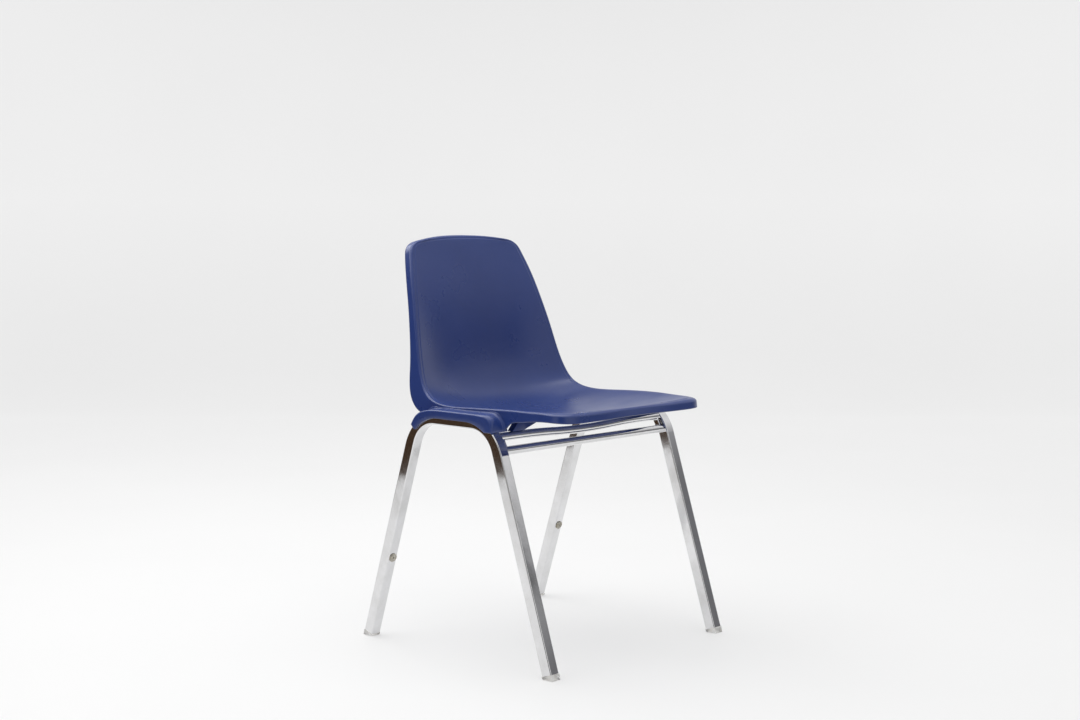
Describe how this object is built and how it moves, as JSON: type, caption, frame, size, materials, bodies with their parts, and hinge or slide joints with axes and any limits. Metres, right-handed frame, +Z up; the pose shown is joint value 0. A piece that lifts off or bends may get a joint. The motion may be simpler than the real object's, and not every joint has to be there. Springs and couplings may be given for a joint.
{
  "type": "stacking chair",
  "caption": "Stacking chair with a dished navy plastic seat-and-back shell whose side saddles hook over a chromed inverted-U leg frame with crossbars, clear glides and small stacking buffers.",
  "frame": {"origin": "on the floor, at the centre of the object's box: midway between the side frames and midway between the front and rear glides", "axes": "+Z up, the chair faces -Y, +X is on the sitter's left"},
  "size_m": [0.5086, 0.5066, 0.7858],
  "materials": {
    "shell_plastic": "satin, fine moulded grain",
    "chromed_tube": "bright chrome, lightly worn",
    "glide_plastic": "clear plastic, yellowed and scuffed",
    "buffer_plastic": "aged translucent plastic",
    "zinc_steel": "zinc plated"
  },
  "bodies": {
    "root": {"seat_shell": "shell_plastic", "left_side_frame": "chromed_tube", "right_side_frame": "chromed_tube", "front_upper_crossbar": "chromed_tube", "front_lower_crossbar": "chromed_tube", "rear_crossbar": "chromed_tube", "left_bar_gusset": "chromed_tube", "right_bar_gusset": "chromed_tube", "front_left_glide": "glide_plastic", "rear_left_glide": "glide_plastic", "front_right_glide": "glide_plastic", "rear_right_glide": "glide_plastic", "left_stacking_buffer": "buffer_plastic", "right_stacking_buffer": "buffer_plastic", "left_shell_screw": "zinc_steel", "right_shell_screw": "zinc_steel"}
  },
  "joints": []
}
